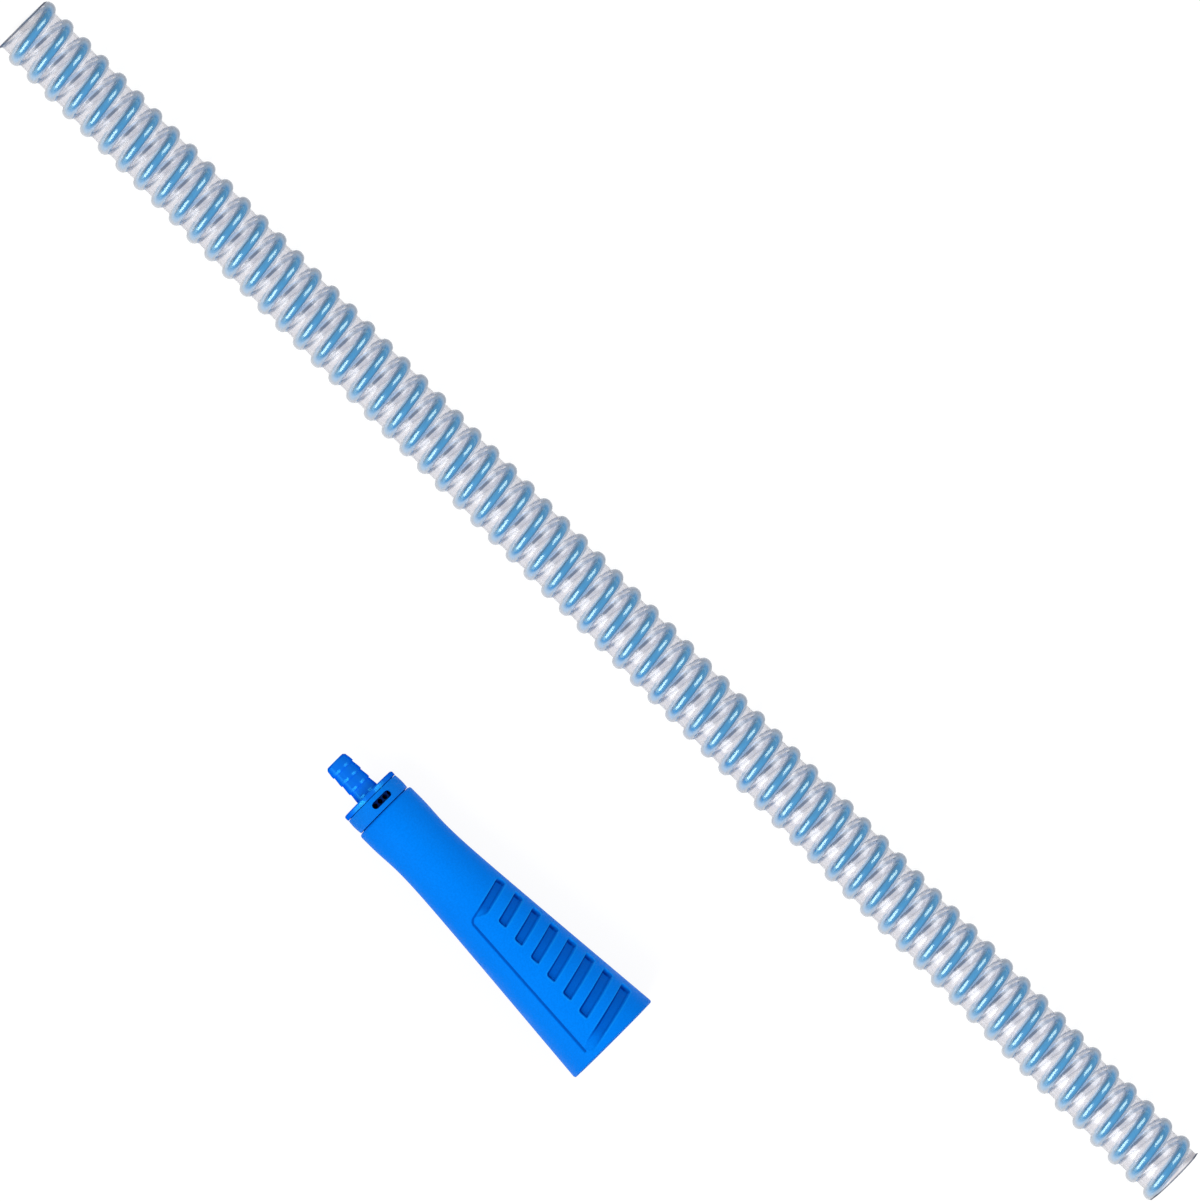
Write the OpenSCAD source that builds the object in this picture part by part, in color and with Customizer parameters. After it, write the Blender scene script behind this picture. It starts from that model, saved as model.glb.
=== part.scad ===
// Suction hose with a rigid spiral rib, and its tapered vacuum adapter with an air-bleed ring.
// The hose runs along X and the adapter lies beside it, both resting on Z = 0.
// The origin is the middle of the set, on the surface that it lies on.

/* [Hose] */
// Length of the hose from cut end to cut end
hose_length = 627.4; // [200:0.2:700]
// Diameter of the smooth bore
hose_bore_d = 20; // [16:0.5:22]
// Thickness of the clear wall between the turns
hose_wall_t = 1.8; // [1.2:0.1:2.8]

/* [Hose spiral] */
// Distance from one turn to the next, along the hose
spiral_pitch = 9.645; // [8.5:0.005:14]
// Width of the rib at its foot
spiral_width = 5; // [3:0.1:6]
// Height of the rib above the wall
spiral_height = 2.05; // [1:0.05:2.8]
// Depth of the rib's foot in the wall
spiral_root_depth = 0.4; // [0.3:0.05:0.6]
// Distance from the left end to the first crest on the side away from the adapter
spiral_first_crest = 3; // [0:0.1:8]

/* [Adapter body] */
// Length of the body, from the ring to the mouth
body_length = 124.6; // [110:0.2:150]
// Diameter of the shoulder behind the ring
shoulder_d = 27.1; // [26.6:0.1:29]
// Distance from the front face to the back of the shoulder
shoulder_length = 6; // [4:0.5:10]
// Radius on the front edge of the shoulder
shoulder_round = 1.2; // [0.4:0.1:1.6]
// How far the waist lies inside the shoulder, radially
waist_drop = 0.6; // [0.3:0.05:0.8]
// Distance from the front face to the waist
waist_station = 20.8; // [16:0.2:28]
// Wall between the vacuum socket and the outside of the mouth
mouth_wall = 4.9; // [4.2:0.1:6]
// How slowly the waist turns into the straight flare
flare_softness = 1.04; // [0.5:0.02:3]
// Radius on the outer edge of the mouth
mouth_round = 1; // [0.4:0.1:1.5]

/* [Adapter inside] */
// Diameter of the socket that a vacuum tube pushes into
vacuum_socket_d = 32; // [30:0.1:33.5]
// Radial room for the hose in its own socket
hose_fit = 0.15; // [0.1:0.05:0.5]
// Height of the ledge that stops the hose
hose_stop = 1.4; // [0.8:0.1:2]
// Diameter of the air throat behind the spigot's neck
throat_d = 20; // [16:0.5:21]
// Length of the straight part of the throat
throat_length = 20; // [8:1:24]
// Wall that is left under the grip slots
grip_floor_t = 1.15; // [0.9:0.05:1.6]
// Chamfer inside the mouth
mouth_chamfer = 0.8; // [0.3:0.1:1.2]

/* [Grip] */
// Number of grip slots in each panel
grip_slots = 8; // [4:1:10]
// Depth of the grip slots
grip_depth = 1.8; // [0.8:0.1:2]
// Distance from the front face to the first slot
grip_start = 48.8; // [42:0.2:60]
// Distance from the last slot's upper corner to the mouth
grip_mouth_margin = 13; // [11:0.5:22]
// Width of the first slot, along the body
grip_first_w = 4; // [2.5:0.1:4.5]
// Width of the last slot, along the body
grip_last_w = 4.6; // [3:0.1:5.5]
// Slant of the slots against the body's cross-section
grip_slant = 12.5; // [0:0.5:18]
// Azimuth of the middle of the first panel, from straight up
grip_azimuth = 17; // [-30:1:40]
// Angle from the middle of the panel to the upper ends of the slots
grip_top_angle = 48; // [30:1:50]
// Depth of the border groove round the panel
groove_depth = 0.55; // [0.3:0.05:0.8]
// Width of the border groove
groove_w = 0.9; // [0.4:0.05:1.2]
// Angle from the middle of the panel to the border groove, at the first slot
groove_first_angle = 45; // [40:0.5:50]
// Angle from the middle of the panel to the border groove, at the last slot
groove_last_angle = 51; // [46:0.5:56]
// Land between the slots' lower ends and the border groove
groove_land = 7.5; // [5:0.5:9]

/* [Air-bleed ring] */
// Width of the ring along the adapter
ring_w = 6.6; // [6.2:0.1:10]
// How far the ring lies inside the body's shoulder, radially
ring_inset = 0.75; // [0.4:0.05:1]
// Wall of the ring, from its crown to the neck
ring_wall = 1.6; // [1.3:0.05:1.9]
// Crown of the ring, from its edges to its middle
ring_crown = 0.25; // [0:0.05:0.5]
// Side gap between the ring and each neighbour
ring_side_gap = 0.3; // [0.15:0.05:0.5]
// Radial running clearance on the neck
ring_clearance = 0.08; // [0.02:0.01:0.1]
// Width of the bleed slot
bleed_slot_w = 2.9; // [2:0.1:3.2]
// Length of the bleed slot, end to end
bleed_slot_l = 9.4; // [5:0.1:12]
// Azimuth of the bleed slot, from straight up
bleed_slot_azimuth = 11.4; // [-60:0.2:60]
// Number of bleed holes in the neck
bleed_holes = 4; // [1:1:6]
// Diameter of each bleed hole
bleed_hole_d = 2; // [1:0.1:2.6]
// Angle from one bleed hole to the next
bleed_hole_step = 13.4; // [13.4:0.1:20]
// Azimuth of the middle of the row of holes
bleed_hole_azimuth = 14.4; // [-60:0.2:60]

/* [Spigot] */
// Length of the barbed spigot in front of the flange
spigot_length = 17.8; // [10:0.2:30]
// Diameter over the barbs
barb_d = 10.5; // [9.5:0.1:14]
// Number of barbs
barb_count = 4; // [2:1:6]
// Height of each barb
barb_rise = 0.4; // [0.2:0.05:0.6]
// Length of the level land on each barb
barb_land = 1; // [0.5:0.1:1.4]
// Bore of the spigot
spigot_bore_d = 7.5; // [5:0.1:7.8]
// Thickness of the flange
flange_t = 2; // [1.4:0.1:4]
// How far the flange lies inside the ring's crown, radially
flange_inset = 0.1; // [0:0.05:0.4]
// Wall of the neck
neck_wall = 2.2; // [1.8:0.1:3]
// Depth to which the neck plugs into the body
neck_plug = 14; // [8:0.5:16]
// Glue gap between the neck and the body
neck_gap = 0.05; // [0.02:0.01:0.15]

/* [Ring seals] */
// Thickness of each seal's round section
seal_t = 1; // [0.6:0.05:1.1]
// Distance from the middle of the ring to each seal
seal_offset = 2.35; // [2.2:0.05:2.5]
// Gap between a seal and what it lies against
seal_gap = 0.04; // [0.02:0.01:0.06]

/* [Layout] */
// Distance between the hose's and the adapter's centre lines
spacing = 115.5; // [60:0.5:200]
// Distance from the middle of the hose to the adapter's mouth
mouth_x = 123.15; // [60:0.05:250]

/* [Hidden] */
// Facets of the circles
$fn = 96;

// Rings of the spiral in each turn
rings_per_turn = 12;
// Overshoot of a cutter past the surface that it opens
overshoot = 1;

// --- Hose ---
hose_r = hose_bore_d / 2 + hose_wall_t;
rib_r = hose_r + spiral_height;
// Half of the rib's section: foot in the wall, shoulder and crest, as [along the hose, radius]
rib_shoulder = [0.3 * spiral_width, hose_r + 0.8 * spiral_height];
rib_section = [
    [-spiral_width / 2, hose_r - spiral_root_depth],
    [-rib_shoulder.x, rib_shoulder.y],
    [0, rib_r],
    [rib_shoulder.x, rib_shoulder.y],
    [spiral_width / 2, hose_r - spiral_root_depth]
];
rib_sides = len(rib_section);
// The rib ends where the hose's cut has left this much of its shoulder
rib_sliver = 0.15;
rib_overrun = rib_shoulder.x - rib_sliver;
// First and last ring, in turns from the first crest on the far side
turn_start = (-spiral_first_crest - rib_overrun) / spiral_pitch;
turn_end = (hose_length - spiral_first_crest + rib_overrun) / spiral_pitch;
first_ring = ceil(turn_start * rings_per_turn);
last_ring = floor(turn_end * rings_per_turn);

// --- Adapter, along its own axis from the body's front face ---
shoulder_r = shoulder_d / 2;
waist_r = shoulder_r - waist_drop;
vacuum_socket_r = vacuum_socket_d / 2;
mouth_r = vacuum_socket_r + mouth_wall;
flare_length = body_length - waist_station;
flare_slope = sqrt(pow(mouth_r - waist_r + flare_softness, 2) - pow(flare_softness, 2)) / flare_length;
// Radius of the flare behind the waist: a hyperbola that starts level and ends straight
function flare_r(station) =
    waist_r - flare_softness
    + sqrt(pow(flare_slope * (station - waist_station), 2) + pow(flare_softness, 2));
// Station where the flare reaches a radius
function flare_station(radius) =
    waist_station
    + sqrt(pow(radius - waist_r + flare_softness, 2) - pow(flare_softness, 2)) / flare_slope;
rim_station = body_length - mouth_round;
rim_r = flare_r(rim_station);

hose_socket_r = rib_r + hose_fit;
// A socket starts where the flare leaves room for its wall and the grip slots
socket_cover = grip_depth + grip_floor_t;
hose_ledge = flare_station(hose_socket_r + socket_cover);
vacuum_ledge = flare_station(vacuum_socket_r + socket_cover);
ring_r = shoulder_r - ring_inset;
flange_r = ring_r - flange_inset;
neck_r = ring_r - ring_wall;
neck_end_gap = 0.2;
neck_pocket = neck_plug + neck_end_gap;
throat_end = neck_pocket + throat_length;

ring_middle = -ring_side_gap - ring_w / 2;
flange_back = -2 * ring_side_gap - ring_w;
flange_front = flange_back - flange_t;
spigot_tip = flange_front - spigot_length;
seal_r = neck_r - seal_t / 2 + ring_clearance - seal_gap;
seal_groove_r = seal_r - seal_t / 2 - seal_gap;
seal_groove_w = seal_t + 2 * seal_gap;

// --- Layout ---
// The adapter lies on its mouth and its shoulder, so its axis climbs towards the mouth
adapter_tilt = atan((rim_r - shoulder_r) / (rim_station - shoulder_round));
front_height = shoulder_r * cos(adapter_tilt) - shoulder_round * sin(adapter_tilt);
front_x = mouth_x - body_length * cos(adapter_tilt);
// The set's width is centred on the origin
hose_y = (spacing + rim_r - rib_r) / 2;
adapter_y = hose_y - spacing;

// Points of a quarter circle round a centre, from one angle to another
quarter_steps = 4;
function arc_points(centre, radius, from, to) =
    [for (i = [0:quarter_steps]) let (a = from + (to - from) * i / quarter_steps)
        centre + radius * [cos(a), sin(a)]];

// --- Hose ---
module along_hose() {
    translate([0, hose_y, rib_r])
        children();
}

module hose_tube() {
    color([0.86, 0.85, 0.88, 0.5])
        along_hose()
            rotate([0, 90, 0])
                difference() {
                    cylinder(h = hose_length, r = hose_r, center = true);
                    cylinder(h = hose_length + 2 * overshoot, d = hose_bore_d, center = true);
                }
}

// One point of the rib: a right-handed winding about +X, cut square at the hose's ends
function rib_point(ring, corner) =
    let (
        turn = ring / rings_per_turn,
        x = -hose_length / 2 + spiral_first_crest + turn * spiral_pitch + corner.x
    )
    [
        max(-hose_length / 2, min(hose_length / 2, x)),
        corner.y * cos(360 * turn),
        corner.y * sin(360 * turn)
    ];

// Least distance between the points of one turn and those of the next
rib_gap = min([
    for (ring = [0:rings_per_turn - 1])
        for (step = [-1:1])
            for (a = rib_section)
                for (b = rib_section)
                    norm(rib_point(ring + rings_per_turn + step, b) - rib_point(ring, a))
]);
echo(least_gap_of_spiral_to_itself_mm = rib_gap);

module hose_spiral() {
    rings = [first_ring:last_ring];
    count = last_ring - first_ring + 1;
    points = [for (ring = rings) for (corner = rib_section) rib_point(ring, corner)];
    sides = [
        for (i = [0:count - 2])
            for (j = [0:rib_sides - 1])
                let (
                    k = (j + 1) % rib_sides,
                    here = i * rib_sides,
                    next = here + rib_sides
                )
                each [
                    [here + j, next + j, next + k],
                    [here + j, next + k, here + k]
                ]
    ];
    start_cap = [[for (j = [0:rib_sides - 1]) j]];
    end_cap = [[for (j = [rib_sides - 1:-1:0]) (count - 1) * rib_sides + j]];
    color([0.31, 0.63, 0.84])
        along_hose()
            polyhedron(points = points, faces = concat(sides, start_cap, end_cap));
}

// --- Adapter ---
// Turns +Z into the adapter's axis, with the local -X upwards
module along_adapter() {
    translate([front_x, adapter_y, front_height])
        rotate([0, 90 - adapter_tilt, 0])
            children();
}

// Turns +X towards an azimuth, counted from straight up towards the hose
module at_azimuth(azimuth) {
    rotate([0, 0, 180 - azimuth])
        children();
}

blend_steps = 6;
flare_steps = 12;
// Stations of the flare lie closer together where it bends
flare_stations = [
    for (i = [0:flare_steps])
        waist_station + (rim_station - waist_station) * pow(i / flare_steps, 1.4)
];
body_outline = concat(
    arc_points([shoulder_r - shoulder_round, shoulder_round], shoulder_round, -90, 0),
    [
        for (i = [0:blend_steps - 1]) let (t = i / blend_steps)
            [
                waist_r + waist_drop * (1 + cos(180 * t)) / 2,
                shoulder_length + (waist_station - shoulder_length) * t
            ]
    ],
    [for (s = flare_stations) [flare_r(s), s]],
    [for (p = arc_points([rim_r - mouth_round, rim_station], mouth_round, 0, 90)) if (p.x < rim_r) p]
);
body_bore = [
    [vacuum_socket_r + mouth_chamfer, body_length],
    [vacuum_socket_r, body_length - mouth_chamfer],
    [vacuum_socket_r, vacuum_ledge],
    [hose_socket_r, vacuum_ledge],
    [hose_socket_r, hose_ledge],
    [hose_socket_r - hose_stop, hose_ledge],
    [throat_d / 2, throat_end],
    [throat_d / 2, neck_pocket],
    [neck_r + neck_gap, neck_pocket],
    [neck_r + neck_gap, 0]
];

// Solid core under the flare, which a cut of the given depth stops at
module flare_core(depth) {
    rotate_extrude()
        polygon(concat(
            [[0, waist_station]],
            [for (s = flare_stations) [flare_r(s) - depth, s]],
            [[0, rim_station]]
        ));
}

function unit(v) = v / norm(v);

// Points that round the corner p between its neighbours a and b, or p itself at radius 0
function corner_arc(a, p, b, radius) =
    radius <= 0 ? [p] :
    let (
        back = unit(a - p),
        ahead = unit(b - p),
        half = acos(back * ahead) / 2,
        centre = p + unit(back + ahead) * radius / sin(half),
        from = p + back * radius / tan(half) - centre,
        to = p + ahead * radius / tan(half) - centre,
        start = atan2(from.y, from.x),
        sweep = (atan2(to.y, to.x) - start + 540) % 360 - 180
    )
    [
        for (i = [0:corner_steps])
            centre + radius * [cos(start + sweep * i / corner_steps), sin(start + sweep * i / corner_steps)]
    ];

// Closed outline with its own radius at each corner
module rounded_outline(corners, radii) {
    n = len(corners);
    polygon([
        for (i = [0:n - 1])
            each corner_arc(corners[(i + n - 1) % n], corners[i], corners[(i + 1) % n], radii[i])
    ]);
}

// The grip panel in plan, as [station, distance from the panel's middle line]
grip_end = body_length - grip_mouth_margin;
grip_pitch = (grip_end - grip_start) / (grip_slots - 1);
grip_round = 1.3;
corner_steps = 3;
last_slot = grip_slots - 1;
groove_first_side = -flare_r(grip_start) * sin(groove_first_angle);
groove_last_side = -flare_r(grip_end) * sin(groove_last_angle);
// The border groove runs straight from the first slot's side to the last one's
function groove_side(station) =
    groove_first_side
    + (groove_last_side - groove_first_side) * (station - grip_start) / (grip_end - grip_start);
function slot_top(station) = flare_r(station) * sin(grip_top_angle);
function slot_width(i) = grip_first_w + (grip_last_w - grip_first_w) * i / last_slot;
function slot_station(i) = grip_start + i * grip_pitch;
function slot_foot(i) = groove_side(slot_station(i)) + groove_land;
// Point on the left wall of a slot at a distance from the middle line, moved right by shift
function slot_wall(i, side, shift = 0) =
    [slot_station(i) + shift + (slot_top(slot_station(i)) - side) * tan(grip_slant), side];

// A slot between the first and the last
module middle_slot(i) {
    w = slot_width(i);
    top = slot_top(slot_station(i));
    foot = slot_foot(i);
    rounded_outline(
        [slot_wall(i, top), slot_wall(i, foot), slot_wall(i, foot, w), slot_wall(i, top, w)],
        [0, grip_round, 0, grip_round]
    );
}

// The first and the last slot reach further down and end in a slanting foot: from the knee on
// the right wall to the toe on the left one. Each entry is [knee, toe]
first_foot = [slot_foot(0) - 0.1 * groove_land, slot_foot(0) - 0.7 * groove_land];
last_foot = [slot_foot(last_slot) + 0.1 * groove_land, slot_foot(last_slot) - 0.6 * groove_land];
module end_slot(i, foot, radii) {
    w = slot_width(i);
    top = slot_top(slot_station(i));
    rounded_outline(
        [slot_wall(i, top), slot_wall(i, foot[1]), slot_wall(i, foot[0], w), slot_wall(i, top, w)],
        radii
    );
}

// Shallow border of the panel: it leaves the first slot's foot, turns into the groove along the
// lower side, and widens again into the last slot's foot
module border() {
    first_w = slot_width(0);
    last_w = slot_width(last_slot);
    half = groove_w / 2;
    // How far the border's ends lie inside the two slots
    lap = 1.2;
    inset = 0.12;
    near = slot_wall(0, groove_side(slot_wall(0, groove_first_side).x) - half, inset);
    near_turn = slot_wall(0, groove_side(slot_wall(0, groove_first_side).x) + half, 1.3 * first_w).x;
    far_station = slot_wall(last_slot, groove_last_side, 0.7 * last_w).x;
    far_turn = slot_wall(last_slot, groove_last_side).x;
    rounded_outline(
        [
            slot_wall(0, first_foot[1] + lap, inset),
            near,
            [far_station, groove_side(far_station) - half],
            slot_wall(last_slot, last_foot[0] + lap, last_w - inset),
            slot_wall(last_slot, last_foot[1] + lap, inset),
            [far_turn, groove_side(far_turn) + half],
            [near_turn, groove_side(near_turn) + half],
            slot_wall(0, first_foot[0] + lap, first_w - inset)
        ],
        [0, 2 * grip_round, 0.8 * grip_round, 0, 0, grip_round, 3 * grip_round, 0]
    );
}

// Cuts an outline of the grip panel into the flare, down to a depth, pulled straight out
module panel_cut(depth) {
    difference() {
        rotate([180, -90, 0])
            linear_extrude(height = mouth_r + overshoot)
                children();
        flare_core(depth);
    }
}

module grip_panel() {
    for (i = [1:last_slot - 1])
        panel_cut(grip_depth)
            middle_slot(i);
    panel_cut(grip_depth)
        end_slot(0, first_foot, [1.2 * grip_round, 0, 0, 0]);
    panel_cut(grip_depth)
        end_slot(last_slot, last_foot, [0, 0, 0, grip_round]);
    panel_cut(groove_depth)
        border();
}

module adapter_body() {
    color([0.0, 0.47, 0.93])
        along_adapter()
            difference() {
                rotate_extrude()
                    polygon(concat(body_outline, body_bore));
                for (side = [0, 180])
                    at_azimuth(grip_azimuth + side)
                        grip_panel();
            }
}

barb_pitch = spigot_length / barb_count;
barb_r = barb_d / 2;
tip_round = 0.8;
// Barbs from the tip to the flange: a slope, a level land and a sharp step back
barb_outline = [
    for (i = [0:barb_count - 1]) let (start = spigot_tip + i * barb_pitch)
        each [
            [barb_r - barb_rise, start + (i == 0 ? tip_round : 0)],
            [barb_r, start + barb_pitch - barb_land],
            [barb_r, start + barb_pitch]
        ]
];
function seal_groove(middle) = [
    [neck_r, middle - seal_groove_w / 2],
    [seal_groove_r, middle - seal_groove_w / 2],
    [seal_groove_r, middle + seal_groove_w / 2],
    [neck_r, middle + seal_groove_w / 2]
];
neck_chamfer = 0.6;
flange_round = 0.5;
spigot_outline = concat(
    [[spigot_bore_d / 2, spigot_tip], [barb_r - barb_rise - tip_round, spigot_tip]],
    barb_outline,
    [
        [flange_r - flange_round, flange_front],
        [flange_r, flange_front + flange_round],
        [flange_r, flange_back],
        [neck_r, flange_back]
    ],
    seal_groove(ring_middle - seal_offset),
    seal_groove(ring_middle + seal_offset),
    [
        [neck_r, neck_plug - neck_chamfer],
        [neck_r - neck_chamfer, neck_plug],
        [neck_r - neck_wall, neck_plug],
        [neck_r - neck_wall, flange_back],
        [spigot_bore_d / 2, flange_back]
    ]
);

module spigot() {
    color([0.0, 0.40, 0.86])
        along_adapter()
            difference() {
                rotate_extrude()
                    polygon(spigot_outline);
                for (i = [0:bleed_holes - 1])
                    at_azimuth(bleed_hole_azimuth + (i - (bleed_holes - 1) / 2) * bleed_hole_step)
                        translate([0, 0, ring_middle])
                            rotate([0, 90, 0])
                                cylinder(h = neck_r + overshoot, d = bleed_hole_d, $fn = 32);
            }
}

ring_steps = 6;
ring_bore_r = neck_r + ring_clearance;
ring_outline = concat(
    [[ring_bore_r, ring_middle - ring_w / 2]],
    [
        for (i = [0:ring_steps]) let (t = 2 * i / ring_steps - 1)
            [ring_r - ring_crown * t * t, ring_middle + t * ring_w / 2]
    ],
    [[ring_bore_r, ring_middle + ring_w / 2]]
);

module bleed_ring() {
    color([0.05, 0.52, 0.93])
        along_adapter()
            difference() {
                rotate_extrude()
                    polygon(ring_outline);
                at_azimuth(bleed_slot_azimuth)
                    translate([0, 0, ring_middle])
                        rotate([180, -90, 0])
                            linear_extrude(height = ring_r + overshoot)
                                bleed_slot_outline();
            }
}

// Slot with round ends, across the ring
module bleed_slot_outline() {
    run = bleed_slot_l - bleed_slot_w;
    square([bleed_slot_w, run], center = true);
    for (side = [-1, 1])
        translate([0, side * run / 2])
            circle(d = bleed_slot_w);
}

module ring_seal(middle) {
    color([0.12, 0.12, 0.13])
        along_adapter()
            translate([0, 0, middle])
                rotate_extrude()
                    translate([seal_r, 0])
                        circle(d = seal_t, $fn = 32);
}

module ring_seal_front() {
    ring_seal(ring_middle - seal_offset);
}

module ring_seal_rear() {
    ring_seal(ring_middle + seal_offset);
}

hose_tube();
hose_spiral();
adapter_body();
spigot();
bleed_ring();
ring_seal_front();
ring_seal_rear();
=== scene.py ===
"""A clear suction hose with a blue spiral, and its tapered adapter, seen from straight above.

The hose is modelled as the real one is made: a clear wall whose outside swells over a thin blue rod,
which winds through it. The adapter's body is a fine mesh with its two grip panels sunk into it, and
its spigot, ring and seals are the CAD pieces. Lengths are in millimetres until a mesh is made, and
in metres in the scene.
"""

import math

import bpy
import numpy as np
from mathutils import Matrix, Vector


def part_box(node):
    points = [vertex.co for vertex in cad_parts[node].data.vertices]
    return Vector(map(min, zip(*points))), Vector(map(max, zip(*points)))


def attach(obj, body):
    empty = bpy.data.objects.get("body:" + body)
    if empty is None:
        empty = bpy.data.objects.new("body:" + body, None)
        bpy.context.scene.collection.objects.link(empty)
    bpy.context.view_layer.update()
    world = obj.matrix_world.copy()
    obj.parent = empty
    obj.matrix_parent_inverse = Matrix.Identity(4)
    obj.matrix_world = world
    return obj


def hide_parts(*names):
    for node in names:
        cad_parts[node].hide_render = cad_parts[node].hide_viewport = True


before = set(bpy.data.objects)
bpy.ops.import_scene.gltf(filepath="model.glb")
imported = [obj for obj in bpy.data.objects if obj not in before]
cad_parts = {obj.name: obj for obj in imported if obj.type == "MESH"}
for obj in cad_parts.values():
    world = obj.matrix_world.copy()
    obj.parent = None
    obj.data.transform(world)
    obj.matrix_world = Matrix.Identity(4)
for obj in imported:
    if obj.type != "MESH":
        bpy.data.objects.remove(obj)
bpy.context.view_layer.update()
MM = 0.001
MAIN_BODY = "hose_and_adapter"


def box_mm(node):
    """The box of a CAD node in millimetres, as two corners."""
    low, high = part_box(node)
    return np.array(low) / MM, np.array(high) / MM


def mesh_object(name, points, faces, body):
    """A smooth mesh object from points in millimetres, riding on a body."""
    mesh = bpy.data.meshes.new(name)
    mesh.from_pydata((np.asarray(points) * MM).tolist(), [], faces)
    mesh.validate()
    mesh.update()
    mesh.polygons.foreach_set("use_smooth", [True] * len(mesh.polygons))
    obj = bpy.data.objects.new(name, mesh)
    bpy.context.scene.collection.objects.link(obj)
    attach(obj, body)
    return obj


def band(rows, columns, start=0):
    """Quads between neighbouring rows of points, closed round each row."""
    faces = []
    for i in range(rows - 1):
        a, b = start + i * columns, start + (i + 1) * columns
        faces += [(a + j, a + (j + 1) % columns, b + (j + 1) % columns, b + j) for j in range(columns)]
    return faces


def flipped(faces):
    return [tuple(reversed(f)) for f in faces]


def smoothstep(low, high, value):
    t = np.clip((value - low) / (high - low), 0, 1)
    return t * t * (3 - 2 * t)


# --- The hose, from its CAD nodes' boxes and the spiral's own figures ---
TUBE_LOW, TUBE_HIGH = box_mm("hose_tube")
RIB_LOW, RIB_HIGH = box_mm("hose_spiral")
HOSE_START = TUBE_LOW[0]
HOSE_LENGTH = TUBE_HIGH[0] - TUBE_LOW[0]
HOSE_Y, HOSE_Z = (TUBE_LOW[1:] + TUBE_HIGH[1:]) / 2
WALL_R = (TUBE_HIGH[2] - TUBE_LOW[2]) / 2
RIB_R = (RIB_HIGH[1] - RIB_LOW[1]) / 2
WALL_THICKNESS = 1.8
BORE_R = WALL_R - WALL_THICKNESS
PITCH = 9.645
# The first crest's distance from the left end at turn 0, and the rib's half width
FIRST_CREST = 3.0
RIB_HALF = 2.65
# From this share of its half width on, the rib runs into the wall in a small hollow
HOLLOW_START, HOLLOW_WIDTH, HOLLOW_DEPTH = 0.8, 0.2, 0.25
# The rod's section, and how far its centre lies off the crest
ROD_HALF_W = 1.6
ROD_HALF_H = 1.3
ROD_CENTRE_R = 11.45
ROD_SHIFT = 0.55


def cover_height(x, turn):
    """How far the outside stands above the wall, at a distance from the left end and a turn."""
    phase = (x - FIRST_CREST - PITCH * turn) / PITCH
    off = (phase - np.round(phase)) * PITCH
    t = np.clip(np.abs(off) / RIB_HALF, 0, 1)
    dome = np.sqrt(1 - t * t)
    hollow = HOLLOW_DEPTH * np.clip((t - HOLLOW_START) / HOLLOW_WIDTH, 0, 1) ** 2
    return (RIB_R - WALL_R) * dome * (1 - hollow)


def round_hose(x, turn, radius):
    """Points at distances from the left end, turns and radii."""
    return np.stack([
        HOSE_START + x,
        HOSE_Y + radius * np.cos(2 * np.pi * turn),
        HOSE_Z + radius * np.sin(2 * np.pi * turn),
    ], axis=-1).reshape(-1, 3)


OUTSIDE, BORE, CUT = 0, 1, 2


def make_hose_wall():
    """The clear wall: an outside that swells over the rod, a smooth bore, and square cut ends."""
    # Points round the hose, and rows along its outside and its bore
    around, along, bore_along = 72, 1300, 64
    turns = np.arange(around) / around
    x, turn = np.meshgrid(np.linspace(0, HOSE_LENGTH, along), turns, indexing="ij")
    outside = round_hose(x, turn, WALL_R + cover_height(x, turn))
    x, turn = np.meshgrid(np.linspace(0, HOSE_LENGTH, bore_along), turns, indexing="ij")
    inside = round_hose(x, turn, BORE_R)
    first_in = len(outside)
    last_out = (along - 1) * around
    last_in = first_in + (bore_along - 1) * around
    outside_faces = flipped(band(along, around))
    bore_faces = band(bore_along, around, first_in)
    cut_faces = []
    for j in range(around):
        k = (j + 1) % around
        cut_faces.append((j, k, first_in + k, first_in + j))
        cut_faces.append((last_out + k, last_out + j, last_in + j, last_in + k))
    wall = mesh_object(
        "hose_wall",
        np.concatenate([outside, inside]),
        outside_faces + bore_faces + cut_faces,
        MAIN_BODY,
    )
    slots = [OUTSIDE] * len(outside_faces) + [BORE] * len(bore_faces) + [CUT] * len(cut_faces)
    wall.data.polygons.foreach_set("material_index", slots)
    return wall


def make_hose_rod():
    """The blue rod that winds through the wall, cut square with it."""
    sides, per_turn = 16, 48
    # Its ends stop just short of the wall's cut faces
    margin = 0.03
    lean = math.atan2(PITCH, 2 * math.pi * ROD_CENTRE_R)
    first = FIRST_CREST + ROD_SHIFT
    start = (-first - ROD_HALF_W) / PITCH
    end = (HOSE_LENGTH - first + ROD_HALF_W) / PITCH
    turns = np.arange(math.ceil(start * per_turn), math.floor(end * per_turn) + 1) / per_turn
    corner = 2 * np.pi * np.arange(sides) / sides
    turn, angle = np.meshgrid(turns, corner, indexing="ij")
    # The section is square to the rod's own direction
    x = first + PITCH * turn + ROD_HALF_W * np.cos(angle) * math.cos(lean)
    radius = ROD_CENTRE_R + ROD_HALF_H * np.sin(angle)
    side = -ROD_HALF_W * np.cos(angle) * math.sin(lean)
    x = np.clip(x, margin, HOSE_LENGTH - margin)
    c, s = np.cos(2 * np.pi * turn), np.sin(2 * np.pi * turn)
    points = np.stack([
        HOSE_START + x,
        HOSE_Y + radius * c - side * s,
        HOSE_Z + radius * s + side * c,
    ], axis=-1).reshape(-1, 3)
    faces = band(len(turns), sides)
    faces.append(tuple(range(sides)))
    faces.append(tuple(reversed(range(len(points) - sides, len(points)))))
    return mesh_object("hose_rod", points, faces, MAIN_BODY)


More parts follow.
